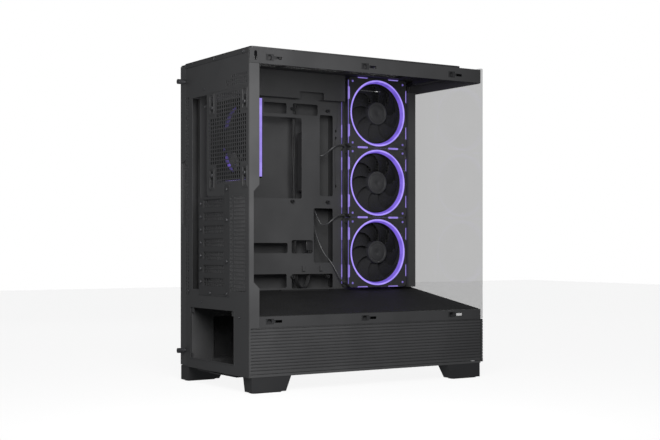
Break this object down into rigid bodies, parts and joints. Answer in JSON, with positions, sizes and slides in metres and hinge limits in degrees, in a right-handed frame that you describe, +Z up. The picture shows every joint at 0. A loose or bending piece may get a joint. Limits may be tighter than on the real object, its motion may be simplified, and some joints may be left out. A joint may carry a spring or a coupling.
{
  "type": "desktop computer case",
  "caption": "Mid-tower computer case with a glass front, open window side, side and rear ring-lit fans, sloped power supply shroud and tapered feet.",
  "frame": {"origin": "on the floor under the centre of the footprint, rear thumbscrews included", "axes": "+Z up, -Y out of the glass front, -X out of the open window side"},
  "size_m": [0.2298, 0.455, 0.512],
  "materials": {
    "case_steel": "satin powder coat",
    "inner_steel": "satin powder coat",
    "slot_steel": "satin powder coat",
    "cover_plastic": "fine matte",
    "tinted_glass": "polished, lightly tinted",
    "black_plastic": "matte",
    "button_plastic": "semi-gloss",
    "foot_rubber": "matte",
    "filter_mesh": "fine woven mesh",
    "screw_steel": "dark plated",
    "dark_standoff": "dark plated",
    "cable_jacket": "soft vinyl",
    "fan_frame_plastic": "fine matte",
    "light_diffuser": "frosted, lit",
    "fan_blade_plastic": "smoked translucent"
  },
  "bodies": {
    "root": {"base_pan": "case_steel", "case_screws": "screw_steel", "drive_cage": "inner_steel", "fan_hub": "black_plastic", "foot_front_right": "black_plastic", "foot_front_window": "black_plastic", "foot_pads": "foot_rubber", "foot_rear_right": "black_plastic", "foot_rear_window": "black_plastic", "front_frame": "case_steel", "front_glass": "tinted_glass", "front_panel_cables": "cable_jacket", "front_panel_plugs": "black_plastic", "front_trim": "cover_plastic", "glass_clips": "black_plastic", "io_module": "black_plastic", "motherboard_tray": "inner_steel", "pci_bracket": "case_steel", "pci_slot_cover_1": "slot_steel", "pci_slot_cover_2": "slot_steel", "pci_slot_cover_3": "slot_steel", "pci_slot_cover_4": "slot_steel", "pci_slot_cover_5": "slot_steel", "pci_slot_cover_6": "slot_steel", "pci_slot_cover_7": "slot_steel", "psu_shroud": "inner_steel", "rear_fan_frame": "fan_frame_plastic", "rear_fan_grille": "case_steel", "rear_fan_ring": "light_diffuser", "rear_panel": "case_steel", "shroud_side_cover": "cover_plastic", "side_fan_1_frame": "fan_frame_plastic", "side_fan_1_ring": "light_diffuser", "side_fan_2_frame": "fan_frame_plastic", "side_fan_2_ring": "light_diffuser", "side_fan_3_frame": "fan_frame_plastic", "side_fan_3_ring": "light_diffuser", "side_fan_bracket": "inner_steel", "side_fan_lead_bottom": "cable_jacket", "side_fan_lead_middle": "cable_jacket", "side_fan_lead_top": "cable_jacket", "standoffs": "dark_standoff", "top_frame": "case_steel", "tray_top_cover": "inner_steel", "window_bottom_rail": "case_steel"},
    "side_fan_1": {"side_fan_1_rotor": "fan_blade_plastic"},
    "side_fan_2": {"side_fan_2_rotor": "fan_blade_plastic"},
    "side_fan_3": {"side_fan_3_rotor": "fan_blade_plastic"},
    "rear_fan": {"rear_fan_rotor": "fan_blade_plastic"},
    "right_panel": {"right_side_panel": "case_steel", "side_dust_filter": "filter_mesh"},
    "thumbscrew_top": {"thumbscrew_top": "screw_steel"},
    "thumbscrew_bottom": {"thumbscrew_bottom": "screw_steel"},
    "top_filter": {"top_dust_filter": "filter_mesh"},
    "bottom_filter": {"bottom_dust_filter": "filter_mesh"},
    "power_button": {"power_button": "button_plastic"},
    "reset_button": {"reset_button": "button_plastic"},
    "drive_tray_1": {"drive_tray_1": "black_plastic"},
    "drive_tray_2": {"drive_tray_2": "black_plastic"}
  },
  "joints": [
    {"name": "side_fan_1_spin", "type": "hinge", "parent": "root", "child": "side_fan_1", "pos_m": [0.0639, -0.13095, 0.2065], "axis": [-1, 0, 0], "continuous": true},
    {"name": "side_fan_2_spin", "type": "hinge", "parent": "root", "child": "side_fan_2", "pos_m": [0.0639, -0.13095, 0.3265], "axis": [-1, 0, 0], "continuous": true},
    {"name": "side_fan_3_spin", "type": "hinge", "parent": "root", "child": "side_fan_3", "pos_m": [0.0639, -0.13095, 0.4465], "axis": [-1, 0, 0], "continuous": true},
    {"name": "rear_fan_spin", "type": "hinge", "parent": "root", "child": "rear_fan", "pos_m": [-0.0491, 0.20105, 0.3785], "axis": [0, 1, 0], "continuous": true},
    {"name": "right_panel_slide", "type": "slide", "parent": "root", "child": "right_panel", "axis": [0, 1, 0], "range_m": [0, 0.02]},
    {"name": "thumbscrew_bottom_turn", "type": "hinge", "parent": "right_panel", "child": "thumbscrew_bottom", "pos_m": [0.0979, 0.22205, 0.0496], "axis": [0, 1, 0], "continuous": true},
    {"name": "thumbscrew_top_turn", "type": "hinge", "parent": "right_panel", "child": "thumbscrew_top", "pos_m": [0.0979, 0.22205, 0.4815], "axis": [0, 1, 0], "continuous": true},
    {"name": "top_filter_lift", "type": "slide", "parent": "root", "child": "top_filter", "axis": [0, 0, 1], "range_m": [0, 0.03]},
    {"name": "bottom_filter_slide", "type": "slide", "parent": "root", "child": "bottom_filter", "axis": [0, 1, 0], "range_m": [0, 0.15]},
    {"name": "power_button_press", "type": "slide", "parent": "root", "child": "power_button", "axis": [0, 0, -1], "range_m": [0, 0.0015], "stiffness_N_per_m": 400},
    {"name": "reset_button_press", "type": "slide", "parent": "root", "child": "reset_button", "axis": [0, 0, -1], "range_m": [0, 0.0012], "stiffness_N_per_m": 400},
    {"name": "drive_tray_1_slide", "type": "slide", "parent": "root", "child": "drive_tray_1", "axis": [1, 0, 0], "range_m": [0, 0.04]},
    {"name": "drive_tray_2_slide", "type": "slide", "parent": "root", "child": "drive_tray_2", "axis": [1, 0, 0], "range_m": [0, 0.04]}
  ]
}
